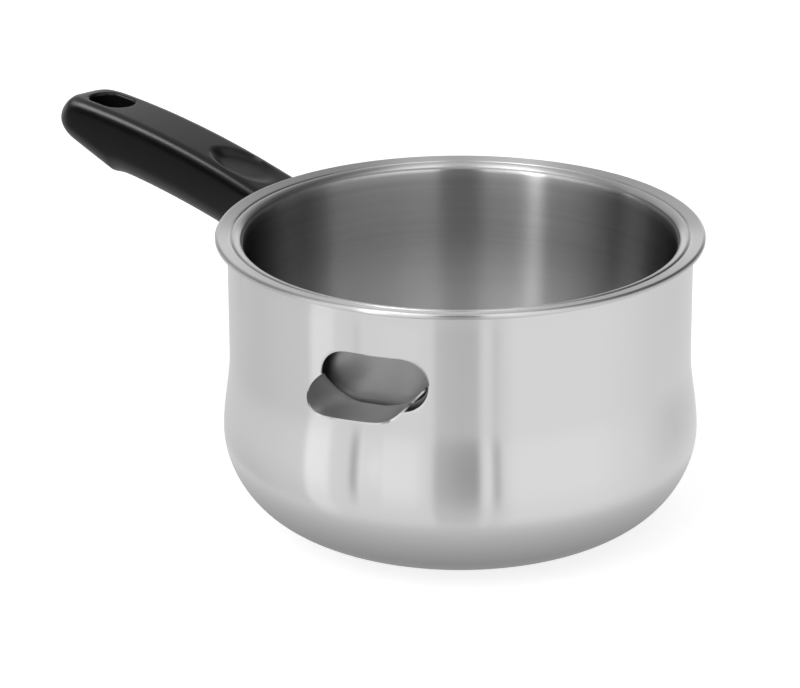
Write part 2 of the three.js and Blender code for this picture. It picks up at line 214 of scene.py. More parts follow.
paper, tree = blank_material("white_paper_sweep")
seen = add_node(tree, "ShaderNodeLightPath").outputs["Is Camera Ray"]
glow = add_node(tree, "ShaderNodeMath", {0: seen, 1: floor_glow}, operation="MULTIPLY").outputs[0]
shine = add_node(tree, "ShaderNodeEmission", {"Strength": glow})
matte = add_node(tree, "ShaderNodeBsdfDiffuse", {"Color": linear(floor_shade)})
both = add_node(tree, "ShaderNodeAddShader", {0: shine.outputs[0], 1: matte.outputs[0]})
below = add_node(tree, "ShaderNodeNewGeometry").outputs["Backfacing"]
clear = add_node(tree, "ShaderNodeBsdfTransparent")
sheet = add_node(tree, "ShaderNodeMixShader", {0: below, 1: both.outputs[0], 2: clear.outputs[0]})
add_node(tree, "ShaderNodeOutputMaterial", {"Surface": sheet.outputs[0]})
floor_mesh = rectangle(
    "floor", Vector((0, 0, -floor_drop)), Vector((floor_half, 0, 0)), Vector((0, floor_half, 0)),
)
floor = stand_card(floor_mesh, paper, ("glossy", "shadow"))

# A black flag beside the handle, which only the grip's near side mirrors, keeps that side dark.
flag_middle = Vector((-280, -83, 101)) * mm
flag_along = Vector((140, 0, 0)) * mm
flag_up = Vector((0, 0, 49)) * mm
flag_shade = "#050505"

cloth, tree = blank_material("black_flag_cloth")
dark = add_node(tree, "ShaderNodeBsdfDiffuse", {"Color": linear(flag_shade)})
add_node(tree, "ShaderNodeOutputMaterial", {"Surface": dark.outputs[0]})
flag_mesh = rectangle("black_flag", flag_middle, flag_along, flag_up)
flag = stand_card(flag_mesh, cloth, ("camera", "diffuse", "shadow"))

# A strip light over the handle draws the highlight along the grip's near top edge. The honeycomb grid in
# front of it, which the lamp's narrow spread stands for, keeps its light off the rim.
strip_middle = Vector((-250, -47, 174)) * mm
strip_aim = Vector((0.70, 0.35, -0.62))
strip_lamp = bpy.data.lights.new("strip_light", "AREA")
strip_lamp.shape = "RECTANGLE"
strip_lamp.size = 143 * mm
strip_lamp.size_y = 30 * mm
strip_lamp.spread = math.radians(48)
strip_lamp.energy = 0.009
back = -strip_aim.normalized()
along = (Vector((1, 0, 0)) - back * back.x).normalized()
strip = bpy.data.objects.new("strip_light", strip_lamp)
strip.location = strip_middle
strip.rotation_euler = Matrix((along, back.cross(along), back)).transposed().to_euler()
strip.visible_camera = False
strip.visible_diffuse = False
bpy.context.scene.collection.objects.link(strip)

# The pan's own shade on the table, which only its polished belly mirrors, lightens outwards and fades away.
shade_level = 0.34
open_table_level = 0.78
shade_dark_reach = 72 * mm
shade_light_reach = 125 * mm
shade_fade_start = 105 * mm
shade_reach = 150 * mm
shade_sides = 64

dusk, tree = blank_material("table_in_shade")
spot = add_node(tree, "ShaderNodeTexCoord").outputs["Object"]
reach = add_node(tree, "ShaderNodeVectorMath", {0: spot}, operation="LENGTH").outputs["Value"]
level = add_node(tree, "ShaderNodeMapRange", {
    "Value": reach, "From Min": shade_dark_reach, "From Max": shade_light_reach,
    "To Min": shade_level, "To Max": open_table_level,
}).outputs[0]
fade = add_node(tree, "ShaderNodeMapRange", {
    "Value": reach, "From Min": shade_fade_start, "From Max": shade_reach,
}, interpolation_type="SMOOTHSTEP").outputs[0]
shine = add_node(tree, "ShaderNodeEmission", {"Strength": level})
clear = add_node(tree, "ShaderNodeBsdfTransparent")
both = add_node(tree, "ShaderNodeMixShader", {0: fade, 1: shine.outputs[0], 2: clear.outputs[0]})
add_node(tree, "ShaderNodeOutputMaterial", {"Surface": both.outputs[0]})
bm = bmesh.new()
bmesh.ops.create_circle(bm, cap_ends=True, segments=shade_sides, radius=shade_reach)
bmesh.ops.translate(bm, verts=bm.verts, vec=(0, 0, -floor_drop / 2))
shade_mesh = bpy.data.meshes.new("table_shade")
bm.to_mesh(shade_mesh)
bm.free()
table_shade = stand_card(shade_mesh, dusk, ("camera", "diffuse", "shadow"))


# Outer shell: stainless sheet, deep drawn to a belly, necked in to a straight wall, flanged at the top and
# polished. The opening is cut through the straight wall, and the sheet below it is pressed out as the lip.

vessel_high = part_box("inner_vessel")[1]
rim_top = vessel_high.z
rim_radius = vessel_high.x
shell_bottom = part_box("outer_shell")[0].z
shell_radius = 85.6 * mm
shell_sheet = 0.8 * mm
vessel_sheet = 0.8 * mm
fit_gap = 0.3 * mm
flange_under = rim_top - vessel_sheet - fit_gap - shell_sheet
foot_radius = 50.4 * mm
bottom_rings = (0, 0.5, 0.95)
belly_swell = 2.8 * mm
belly_height = 33.4 * mm
belly_fullness = 2.3
belly_depth_fullness = 1.79
belly_steps = 48
waist_height = 64 * mm
waist_steps = 20
neck_below_rim = 9 * mm
flange_fillet = 1.2 * mm
fillet_steps = 8
spout_azimuth = math.radians(-62.85)
spout_height = rim_top - 29 * mm
spout_straight = 20.8 * mm
spout_radius = 9.85 * mm
spout_patch_half = 14.4 * mm
spout_patch_rows = 18
spout_patch_columns = 9
spout_rings = 8
cut_edge = 0.15 * mm
cut_edge_segments = 2
cut_edge_angle = math.radians(50)
sheet_crease = 40
weld_distance = 0.001 * mm
columns = 180


def arc(centre_r, centre_z, radius_r, radius_z, start, end, steps):
    """Points on an elliptical arc in the (radius, height) plane, angles in degrees."""
    turns = [math.radians(start + (end - start) * i / steps) for i in range(steps + 1)]
    return [(centre_r + radius_r * math.cos(t), centre_z + radius_z * math.sin(t)) for t in turns]


def obround_reach(way, half_straight, radius):
    """How far a straight-sided opening with round ends reaches from its middle along a direction."""
    x, y = abs(way[0]), abs(way[1])
    if x * radius <= half_straight * y:
        return radius / y
    return half_straight * x + math.sqrt(radius ** 2 - (half_straight * y) ** 2)


def band(bm, loop, next_loop, slot=0):
    """Faces between two closed rows of vertices, in one of the piece's material slots."""
    for i in range(len(loop)):
        j = (i + 1) % len(loop)
        face = bm.faces.new((loop[i], loop[j], next_loop[j], next_loop[i]))
        face.material_index = slot


def skin(bm, rows, skipped):
    """Faces over closed rows of vertices, apart from the skipped cells of row and column."""
    around = len(rows[0])
    for i in range(len(rows) - 1):
        for j in range(around):
            if (i, j) not in skipped:
                k = (j + 1) % around
                bm.faces.new((rows[i][j], rows[i][k], rows[i + 1][k], rows[i + 1][j]))


def patch_cells(patch, around):
    """The cells of a patch of skin, given as its first and last row and its first and last column."""
    start, end, first, last = patch
    return {(i, j % around) for i in range(start, end) for j in range(first, last)}


def patch_border(patch):
    """Row and column of each point round a patch of skin, in order."""
    start, end, first, last = patch
    cells = [(start, j) for j in range(first, last)]
    cells += [(i, last) for i in range(start, end)]
    cells += [(end, j) for j in range(last, first, -1)]
    cells += [(i, first) for i in range(end, start, -1)]
    return cells


def ease_to_hole(bm, border, border_flat, hole_flat, rings, place):
    """Fills the space from a border to a hole with rings of faces, laid out flat and set by place."""
    loop = border
    for k in range(1, rings + 1):
        t = k / rings
        points = [a.lerp(b, t) for a, b in zip(border_flat, hole_flat)]
        next_loop = [bm.verts.new(place(p)) for p in points]
        band(bm, loop, next_loop)
        loop = next_loop
    return loop


def new_piece(name, bm, *finishes):
    """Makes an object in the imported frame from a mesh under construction."""
    mesh = bpy.data.meshes.new(name)
    bm.to_mesh(mesh)
    bm.free()
    for finish in finishes:
        mesh.materials.append(finish)
    piece = bpy.data.objects.new(name, mesh)
    bpy.context.scene.collection.objects.link(piece)
    return piece


def thicken(piece, thickness, side, edge, segments, even):
    """Gives a surface its sheet's thickness, with the back in the second slot, and breaks its cut edges."""
    sheet = piece.modifiers.new("sheet", "SOLIDIFY")
    sheet.material_offset = 1
    sheet.thickness = thickness
    sheet.offset = side
    sheet.use_even_offset = even
    edges = piece.modifiers.new("cut_edges", "BEVEL")
    edges.width = edge
    edges.segments = segments
    edges.angle_limit = cut_edge_angle


def finish_mesh(piece, crease_degrees, recalculate=True):
    """Applies the piece's modifiers, turns its faces outwards and marks its sharp edges."""
    graph = bpy.context.evaluated_depsgraph_get()
    made = bpy.data.meshes.new_from_object(piece.evaluated_get(graph))
    piece.modifiers.clear()
    bm = bmesh.new()
    bm.from_mesh(made)
    bmesh.ops.remove_doubles(bm, verts=bm.verts, dist=weld_distance)
    if recalculate:
        bmesh.ops.recalc_face_normals(bm, faces=bm.faces)
    bm.to_mesh(made)
    bm.free()
    made.shade_smooth()
    made.set_sharp_from_angle(angle=math.radians(crease_degrees))
    made.name = piece.name
    piece.data = made


def spun_lines(tree, spacing, drift_per_metre=12):
    """Grey lines that run round the pan's axis, as spinning and polishing leave them, and change sideways."""
    spot = add_node(tree, "ShaderNodeTexCoord").outputs["Object"]
    sides = add_node(tree, "ShaderNodeSeparateXYZ", {0: spot}).outputs
    flat = add_node(tree, "ShaderNodeCombineXYZ", {0: sides[0], 1: sides[1]}).outputs[0]
    radius = add_node(tree, "ShaderNodeVectorMath", {0: flat}, operation="LENGTH").outputs["Value"]
    along = add_node(tree, "ShaderNodeCombineXYZ", {0: radius, 1: sides[2]}).outputs[0]
    across = add_node(tree, "ShaderNodeVectorMath", {0: along, 1: [1 / spacing] * 3}, operation="MULTIPLY")
    drift = add_node(tree, "ShaderNodeMath", {0: sides[0], 1: drift_per_metre}, operation="MULTIPLY")
    return add_node(tree, "ShaderNodeTexNoise", {
        "Vector": across.outputs[0], "W": drift.outputs[0], "Scale": 1, "Detail": 3,
    }, noise_dimensions="4D").outputs[0]


# Polished 18/10 stainless: a bright, slightly soft mirror. Faint polishing lines run round it and smear its
# reflections up and down. The lines are drawn 0.4 mm apart, because the real ones are too fine to show.
polishing_spacing = 0.4 * mm

polished, tree = blank_material("polished_stainless")
lines = spun_lines(tree, polishing_spacing)
gloss = add_node(tree, "ShaderNodeMapRange", {"Value": lines, "To Min": 0.10, "To Max": 0.17}).outputs[0]
relief = add_node(tree, "ShaderNodeBump", {
    "Height": lines, "Strength": 0.04, "Distance": 0.02 * mm,
}).outputs[0]
round_way = add_node(tree, "ShaderNodeTangent", direction_type="RADIAL", axis="Z").outputs[0]
steel = add_node(tree, "ShaderNodeBsdfPrincipled", {
    "Base Color": linear("#dcdcdc"), "Metallic": 1, "Roughness": gloss, "Normal": relief,
    "Anisotropic": 0.85, "Anisotropic Rotation": 0.25, "Tangent": round_way,
})
add_node(tree, "ShaderNodeOutputMaterial", {"Surface": steel.outputs[0]})

# Mill finish: the sheet as it was rolled, dull and dark grey with soft clouds about 4 mm wide, on the sides
# that nobody polishes.
mill_cloud = 4 * mm

mill, tree = blank_material("mill_finish_stainless")
spot = add_node(tree, "ShaderNodeTexCoord").outputs["Object"]
clouds = add_node(tree, "ShaderNodeTexNoise", {
    "Vector": spot, "Scale": 1 / mill_cloud, "Detail": 5,
}).outputs[0]
gloss = add_node(tree, "ShaderNodeMapRange", {"Value": clouds, "To Min": 0.34, "To Max": 0.48}).outputs[0]
steel = add_node(tree, "ShaderNodeBsdfPrincipled", {
    "Base Color": linear("#a2a2a2"), "Metallic": 1, "Roughness": gloss,
})
add_node(tree, "ShaderNodeOutputMaterial", {"Surface": steel.outputs[0]})

shell_path = [(foot_radius * share, shell_bottom) for share in bottom_rings]
for i in range(belly_steps + 1):
    angle = math.pi / 2 * (1 - i / belly_steps)
    out = max(math.cos(angle), 0) ** (2 / belly_fullness)
    drop = math.sin(angle) ** (2 / belly_depth_fullness)
    swell = shell_radius + belly_swell - foot_radius
    shell_path.append((foot_radius + swell * out, shell_bottom + belly_height * (1 - drop)))
for i in range(1, waist_steps + 1):
    t = i / waist_steps
    swell = belly_swell * (1 + math.cos(math.pi * t)) / 2
    height = shell_bottom + belly_height + (waist_height - belly_height) * t
    shell_path.append((shell_radius + swell, height))
patch_low = len(shell_path)
patch_high = patch_low + spout_patch_rows
for i in range(spout_patch_rows + 1):
    height = spout_height - spout_patch_half * (1 - 2 * i / spout_patch_rows)
    shell_path.append((shell_radius, height))
shell_path.append((shell_radius, rim_top - neck_below_rim))
shell_path += arc(
    shell_radius + flange_fillet, flange_under - flange_fillet, flange_fillet, flange_fillet,
    180, 90, fillet_steps,
)
shell_path.append((rim_radius - vessel_sheet - fit_gap, flange_under))


def on_wall(flat):
    """Point of the straight wall over a flat point measured sideways and up from the opening's middle."""
    turn = spout_azimuth + math.asin(flat.x / shell_radius)
    return (shell_radius * math.cos(turn), shell_radius * math.sin(turn), spout_height + flat.y)


bm = bmesh.new()
rows = []
for radius, height in shell_path:
    turns = [spout_azimuth + 2 * math.pi * j / columns for j in range(columns)]
    rows.append([bm.verts.new((radius * math.cos(t), radius * math.sin(t), height)) for t in turns])
spout_patch = (patch_low, patch_high, -spout_patch_columns, spout_patch_columns)
skin(bm, rows, patch_cells(spout_patch, columns))
border = []
border_flat = []
hole_flat = []
for i, j in patch_border(spout_patch):
    sideways = shell_radius * math.sin(2 * math.pi * j / columns)
    flat = Vector((sideways, shell_path[i][1] - spout_height))
    way = flat.normalized()
    border.append(rows[i][j % columns])
    border_flat.append(flat)
    hole_flat.append(way * obround_reach(way, spout_straight / 2, spout_radius))
ease_to_hole(bm, border, border_flat, hole_flat, spout_rings, on_wall)
bmesh.ops.remove_doubles(bm, verts=bm.verts, dist=weld_distance)
bmesh.ops.recalc_face_normals(bm, faces=bm.faces)
if min(bm.faces, key=lambda face: face.calc_center_median().z).normal.z > 0:
    bmesh.ops.reverse_faces(bm, faces=bm.faces)

shell = new_piece("shell", bm, polished, mill)
thicken(shell, shell_sheet, -1, cut_edge, cut_edge_segments, even=True)
finish_mesh(shell, sheet_crease, recalculate=False)
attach(shell, "root")
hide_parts("outer_shell")


# Pouring lip: the tongue of the same polished sheet, bent out of the wall and left hanging on a narrow tab.
# It reaches furthest in the middle and dips there, and its ends tuck in behind the opening's edge.

tab_width = 10 * mm
slit_width = 1.5 * mm
lip_sheet = 0.7 * mm
lip_root = 0.6 * mm
lip_reach = 21.7 * mm
lip_sag = 6.3 * mm
lip_tuck = 2.2 * mm
lip_blunt = 0.05 * mm
lip_edge = 0.3 * mm
lip_edge_segments = 3
lip_squareness = 5.6
lip_sag_power = 4
lip_bend_out = 0.12
lip_bend_up = 0.5
lip_sections = 96
lip_steps = 24

tab = spout_radius - slit_width
tip = spout_straight / 2 + spout_radius - fit_gap
bm = bmesh.new()
rows = []
for i in range(lip_sections + 1):
    across = (tip - lip_blunt) * math.sin(math.pi / 2 * (2 * i / lip_sections - 1))
    past_tab = max(abs(across) - tab_width / 2, 0) / (tip - tab_width / 2)
    reach = 1 - (abs(across) / tip) ** lip_squareness
    fall = math.sqrt(1 - past_tab ** 2)
    back = Vector((-shell_sheet / 2 - lip_tuck * 2 * past_tab * fall, -tab * fall))
    front = Vector((-shell_sheet / 2 + lip_reach * reach, -lip_sag * reach ** lip_sag_power))
    span = front - back
    bend = Vector((back.x + span.x * lip_bend_out, back.y + span.y * lip_bend_up))
    turn = spout_azimuth + across / shell_radius
    row = []
    for k in range(lip_steps + 1):
        t = k / lip_steps
        spot = back * (1 - t) ** 2 + bend * 2 * t * (1 - t) + front * t ** 2
        if k == 0 and past_tab == 0:
            spot.y -= lip_root
        radius = shell_radius + spot.x
        row.append(bm.verts.new((radius * math.cos(turn), radius * math.sin(turn), spout_height + spot.y)))
    rows.append(row)
for i in range(lip_sections):
    for k in range(lip_steps):
        bm.faces.new((rows[i][k], rows[i + 1][k], rows[i + 1][k + 1], rows[i][k + 1]))

lip = new_piece("pouring_lip", bm, polished, mill)
thicken(lip, lip_sheet, 0, lip_edge, lip_edge_segments, even=False)
finish_mesh(lip, sheet_crease)
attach(lip, "root")


# Inner vessel: stainless sheet, spun straight with a rounded floor corner, satin finished inside. Its rim is
# rolled over in a soft shoulder, a fine groove and a slightly dished flange, and its edge is hemmed over the
# shell's.

vessel_radius = 80 * mm
vessel_floor = rim_top - 88 * mm
floor_corner = 12 * mm
floor_ring = 0.4
low_wall_ring = vessel_floor + 40 * mm
high_wall_ring = rim_top - 12 * mm
shoulder_width = 3.6 * mm
shoulder_drop = 3.4 * mm
corner_steps = 14
groove_width = 1.2 * mm
groove_depth = 0.6 * mm
groove_steps = 8
flange_dish = 0.7 * mm
flange_steps = 6
hem_radius = 1.0 * mm
hem_steps = 12
hem_round = vessel_sheet / 2
hem_round_steps = 8

# Satin stainless: spun, then brushed with an abrasive pad, so it is greyer and softer than the shell, and its
# lines, drawn 0.5 mm apart to show, pull reflections out into upright streaks. Wider rings are left from the
# spinning, the floor is rougher, and the rim is polished bright. Low down, the wall's colour is painted
# paler:
# painted light that stands for the light bounced up from the vessel's floor.
satin_spacing = 0.5 * mm
ring_spacing = 2.5 * mm
rim_band = (rim_top - 8 * mm, rim_top - 2 * mm)
wall_band = (rim_top - 62 * mm, rim_top - 20 * mm)
# Heights over which the painted light on the lower wall fades from full to none.
painted_light_band = (rim_top - 60 * mm, rim_top - 26 * mm)
floor_roughness = 0.60
low_wall_roughness = 0.30
wall_roughness = 0.27
rim_roughness = 0.28
line_roughness = 0.06

satin, tree = blank_material("satin_stainless")
lines = spun_lines(tree, satin_spacing)
rings = spun_lines(tree, ring_spacing)
spot = add_node(tree, "ShaderNodeTexCoord").outputs["Object"]
height = add_node(tree, "ShaderNodeSeparateXYZ", {0: spot}).outputs["Z"]
up_rim = add_node(tree, "ShaderNodeMapRange", {
    "Value": height, "From Min": rim_band[0], "From Max": rim_band[1],
}, interpolation_type="SMOOTHSTEP").outputs[0]
up_wall = add_node(tree, "ShaderNodeMapRange", {
    "Value": height, "From Min": wall_band[0], "From Max": wall_band[1],
    "To Min": low_wall_roughness, "To Max": wall_roughness,
}).outputs[0]
off_floor = add_node(tree, "ShaderNodeMapRange", {
    "Value": height, "From Min": vessel_floor, "From Max": vessel_floor + floor_corner,
    "To Min": floor_roughness, "To Max": up_wall,
}, interpolation_type="SMOOTHSTEP").outputs[0]
evenness = add_node(tree, "ShaderNodeMapRange", {
    "Value": up_rim, "To Min": off_floor, "To Max": rim_roughness,
}).outputs[0]
gloss = add_node(tree, "ShaderNodeMath", {
    0: lines, 1: line_roughness, 2: evenness,
}, operation="MULTIPLY_ADD").outputs[0]
relief = add_node(tree, "ShaderNodeBump", {
    "Height": lines, "Strength": 0.015, "Distance": 0.03 * mm,
}).outputs[0]
# Painted light: the wall's colour turns paler low down, for the light bounced up from the vessel's floor.
painted_light_low_down = add_node(tree, "ShaderNodeMapRange", {
    "Value": height, "From Min": painted_light_band[0], "From Max": painted_light_band[1], "To Min": 1, "To Max": 0,
}, interpolation_type="SMOOTHSTEP").outputs[0]
ringed = add_node(tree, "ShaderNodeMix", {
    "Factor": rings, 6: linear("#a6a6a6"), 7: linear("#c6c6c6"),
}, data_type="RGBA").outputs[2]
rings_and_painted_light = add_node(tree, "ShaderNodeMix", {
    "Factor": painted_light_low_down, 6: ringed, 7: linear("#e6e6e6"),
}, data_type="RGBA").outputs[2]
tone = add_node(tree, "ShaderNodeMix", {
    "Factor": up_rim, 6: rings_and_painted_light, 7: linear("#dcdcdc"),
}, data_type="RGBA").outputs[2]
edge_tone = add_node(tree, "ShaderNodeMix", {
    "Factor": up_rim, 6: linear("#505050"), 7: linear("#ffffff"),
}, data_type="RGBA").outputs[2]
round_way = add_node(tree, "ShaderNodeTangent", direction_type="RADIAL", axis="Z").outputs[0]
steel = add_node(tree, "ShaderNodeBsdfPrincipled", {
    "Base Color": tone, "Metallic": 1, "Roughness": gloss, "Normal": relief, "Specular Tint": edge_tone,
    "Anisotropic": 1.0, "Anisotropic Rotation": 0.25, "Tangent": round_way,
})
add_node(tree, "ShaderNodeOutputMaterial", {"Surface": steel.outputs[0]})

# The lathe: every point of the profile is carried round the axis, and the seam and the poles are merged.
lathe = bpy.data.node_groups.new("lathe", "GeometryNodeTree")
lathe.interface.new_socket("Profile", in_out="INPUT", socket_type="NodeSocketGeometry")
lathe.interface.new_socket("Steps Round", in_out="INPUT", socket_type="NodeSocketInt")
lathe.interface.new_socket("Weld Distance", in_out="INPUT", socket_type="NodeSocketFloat")
lathe.interface.new_socket("Finish", in_out="INPUT", socket_type="NodeSocketMaterial")
lathe.interface.new_socket("Turned", in_out="OUTPUT", socket_type="NodeSocketGeometry")
given = add_node(lathe, "NodeGroupInput").outputs
points = add_node(lathe, "GeometryNodeAttributeDomainSize", {0: given["Profile"]}).outputs["Point Count"]
around = add_node(lathe, "ShaderNodeMath", {0: given["Steps Round"], 1: 1}, operation="ADD").outputs[0]
grid = add_node(lathe, "GeometryNodeMeshGrid", {"Vertices X": points, "Vertices Y": around}).outputs["Mesh"]
index = add_node(lathe, "GeometryNodeInputIndex").outputs[0]
step = add_node(lathe, "ShaderNodeMath", {0: index, 1: around}, operation="MODULO").outputs[0]
row = add_node(lathe, "ShaderNodeMath", {0: index, 1: around}, operation="DIVIDE").outputs[0]
row = add_node(lathe, "ShaderNodeMath", {0: row}, operation="FLOOR").outputs[0]
place = add_node(lathe, "GeometryNodeInputPosition").outputs[0]
spot = add_node(lathe, "GeometryNodeSampleIndex", {
    "Geometry": given["Profile"], "Value": place, "Index": row,
}, data_type="FLOAT_VECTOR", domain="POINT").outputs[0]
part_turn = add_node(lathe, "ShaderNodeMath", {0: step, 1: 2 * math.pi}, operation="MULTIPLY").outputs[0]
angle = add_node(lathe, "ShaderNodeMath", {
    0: part_turn, 1: given["Steps Round"],
}, operation="DIVIDE").outputs[0]
carried = add_node(lathe, "ShaderNodeVectorRotate", {
    "Vector": spot, "Angle": angle,
}, rotation_type="Z_AXIS").outputs[0]
turned = add_node(lathe, "GeometryNodeSetPosition", {"Geometry": grid, "Position": carried}).outputs[0]
turned = add_node(lathe, "GeometryNodeMergeByDistance", {
    "Geometry": turned, "Distance": given["Weld Distance"],
}).outputs[0]
turned = add_node(lathe, "GeometryNodeRealizeInstances", {"Geometry": turned}).outputs[0]
turned = add_node(lathe, "GeometryNodeSetMaterial", {
    "Geometry": turned, "Material": given["Finish"],
}).outputs[0]
add_node(lathe, "NodeGroupOutput", {"Turned": turned})


def turned_piece(name, outline, finish):
    """Turns a closed outline of radius and height points about the pan's axis."""
    mesh = bpy.data.meshes.new(name)
    chain = [(i, i + 1) for i in range(len(outline) - 1)]
    mesh.from_pydata([(radius, 0, height) for radius, height in outline], chain, [])
    piece = bpy.data.objects.new(name, mesh)
    bpy.context.scene.collection.objects.link(piece)
    turning = piece.modifiers.new("lathe", "NODES")
    turning.node_group = lathe
    settings = {"Steps Round": columns, "Weld Distance": weld_distance, "Finish": finish}
    for item in lathe.interface.items_tree:
        if item.name in settings:
            turning[item.identifier] = settings[item.name]
    finish_mesh(piece, sheet_crease)
    piece.data.materials.clear()
    piece.data.materials.append(finish)
    for face in piece.data.polygons:
        face.material_index = 0
    return piece


def beside(path, distance):
    """The path moved sideways, to the right of its direction. Points on the axis stay on it."""
    moved = []
    for i, (radius, height) in enumerate(path):
        into = Vector(path[i]) - Vector(path[max(i - 1, 0)])
        out = Vector(path[min(i + 1, len(path) - 1)]) - Vector(path[i])
        way = (into.normalized() + out.normalized()).normalized()
        moved.append((radius + distance * way.y if radius else 0, height - distance * way.x))
    return moved


dish_level = rim_top - flange_dish
groove_start = vessel_radius + shoulder_width
groove_end = groove_start + groove_width
flange_end = rim_radius - hem_radius
vessel_path = [(0, vessel_floor), (vessel_radius * floor_ring, vessel_floor)]
vessel_path += arc(
    vessel_radius - floor_corner, vessel_floor + floor_corner, floor_corner, floor_corner,
    -90, 0, corner_steps,
)
vessel_path += [(vessel_radius, low_wall_ring), (vessel_radius, high_wall_ring)]
vessel_path += arc(
    groove_start, dish_level - shoulder_drop, shoulder_width, shoulder_drop, 180, 90, corner_steps,
)
for i in range(1, groove_steps + 1):
    t = i / groove_steps
    depth = groove_depth * math.sin(math.pi * t) ** 2
    vessel_path.append((groove_start + groove_width * t, dish_level - depth))
for i in range(1, flange_steps):
    t = i / flange_steps
    vessel_path.append((groove_end + (flange_end - groove_end) * t, dish_level + flange_dish * t))
vessel_path += arc(flange_end, rim_top - hem_radius, hem_radius, hem_radius, 98, 0, hem_steps)
vessel_path.append((rim_radius, flange_under + hem_round))
vessel_outline = vessel_path + arc(
    rim_radius - hem_round, flange_under + hem_round, hem_round, hem_round, -15, -165, hem_round_steps,
)
vessel_outline += beside(vessel_path, vessel_sheet)[::-1]
vessel_outline.append(vessel_outline[0])

vessel = turned_piece("vessel", vessel_outline, satin)
vessel.data.materials.append(mill)
for face in vessel.data.polygons:
    under_floor = face.center.z < vessel_floor - vessel_sheet / 2
    outside = face.center.xy.length > vessel_radius + vessel_sheet / 2
    face.material_index = int(under_floor or outside and face.center.z < flange_under)
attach(vessel, "root")
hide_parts("inner_vessel")


# Base: an aluminium disc spreads the heat under the shell, and a thin polished steel cap is pressed over it.
# The disc is out of sight and keeps its solid; the cap is turned again with a smooth edge.

cap_low, cap_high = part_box("base_cap")
cap_sheet = 0.6 * mm
cap_edge = 1.6 * mm
cap_edge_steps = 8
cap_ring = 0.6

cap_path = [(0, cap_low.z), (cap_high.x * cap_ring, cap_low.z)]
cap_path += arc(cap_high.x - cap_edge, cap_low.z + cap_edge, cap_edge, cap_edge, -90, 0, cap_edge_steps)
cap_path.append((cap_high.x, cap_high.z))
cap_outline = cap_path + beside(cap_path, -cap_sheet)[::-1]
cap_outline.append(cap_outline[0])

cap = turned_piece("cap", cap_outline, polished)
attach(cap, "root")
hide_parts("base_cap")


def refinish(node, finish):
    """Gives a finish to a piece that keeps its solid."""
    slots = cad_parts[node].data.materials
    slots.clear()
    slots.append(finish)


# Rolled aluminium: dull, pale and slightly warm, with rolling marks one way, 25 mm long and 0.5 mm wide.
mark_length = 25 * mm
mark_width = 0.5 * mm

aluminium, tree = blank_material("rolled_aluminium")
spot = add_node(tree, "ShaderNodeTexCoord").outputs["Object"]
rolled = add_node(tree, "ShaderNodeMapping", {
    "Vector": spot, "Scale": (1 / mark_length, 1 / mark_width, 1 / mark_width),
}).outputs[0]
marks = add_node(tree, "ShaderNodeTexNoise", {"Vector": rolled, "Scale": 1, "Detail": 4}).outputs[0]
gloss = add_node(tree, "ShaderNodeMapRange", {"Value": marks, "To Min": 0.38, "To Max": 0.55}).outputs[0]
metal = add_node(tree, "ShaderNodeBsdfPrincipled", {
    "Base Color": linear("#d3d4d4"), "Metallic": 1, "Roughness": gloss,
})
add_node(tree, "ShaderNodeOutputMaterial", {"Surface": metal.outputs[0]})
refinish("base_core", aluminium)


# Grip: black phenolic, moulded in one piece with a hanging hole, a thumb dish and a socket for the tang.
# It arches up to a crest near the tail, turns down under it as a hook and is rounded off in plan.

handle_reach = 154.6 * mm
grip_width = 25.2 * mm
grip_root_width = 26 * mm
grip_flare = 40 * mm
grip_depth = 25.3 * mm
top_edge_radius = 4.5 * mm
tail_edge_radius = 13.5 * mm
bottom_edge_radius = 8 * mm
arch_radius = 610 * mm
crest_rise = 1.3 * mm
crest_back = 21 * mm
hook_back = 37.5 * mm
hook_drop = 1.2 * mm
hook_ease = 12 * mm
tail_slope = math.tan(math.radians(14.5))
tail_round = 14.5 * mm
tail_soften = 21.5 * mm
tail_squareness = 2.7
tail_blunt = 0.05 * mm
root_ease = 25 * mm
hang_hole_length = 22 * mm
hang_hole_width = 13 * mm
hang_hole_back = 26 * mm
hang_hole_edge = 1.2 * mm
hang_hole_low_edge = 0.8 * mm
hang_patch_half = 15 * mm
dish_from_wall = 42.6 * mm
dish_length = 40 * mm
dish_width = 18 * mm
dish_depth = 1.9 * mm
dish_edge = 0.45
dish_lean = 0.6
plate_thickness = 1.5 * mm
tang_width = 14 * mm
tang_thickness = 5 * mm
tang_length = 44 * mm
screw_from_wall = 28 * mm
screw_land = 3 * mm
screw_radius = 2.2 * mm
washer_radius = 4.6 * mm
screw_hole_edge = 0.4 * mm
screw_patch_half = 9 * mm
flat_steps = 28
edge_steps = 10
side_steps = 10
low_flat_steps = 16
low_patch_edge = 6
hole_spread_along = 15
hole_spread_across = 9
hole_rings = 6
hole_edge_steps = 6
screw_edge_steps = 4
body_step = 0.7 * mm
tail_steps = 24
grip_crease = 45

tail_end = shell_radius + handle_reach
grip_root = shell_radius + fit_gap + plate_thickness + fit_gap
dish_middle = shell_radius + dish_from_wall
hang_x = tail_end - hang_hole_back
screw_x = shell_radius + screw_from_wall


def grip_arch(x):
    """Height of the arch that the grip's top line follows."""
    from_crest = tail_end - crest_back - x
    return rim_top + crest_rise - arch_radius + math.sqrt(arch_radius ** 2 - from_crest ** 2)


def grip_bottom(x):
    """Height of the grip's underside, which eases down to the hook and turns up to the tail's end."""
    hook = tail_end - hook_back
    nose = hook_drop * max(1 - max(hook - x, 0) / hook_ease, 0) ** 2
    return grip_arch(min(x, hook)) - grip_depth - nose + max(x - hook, 0) * tail_slope


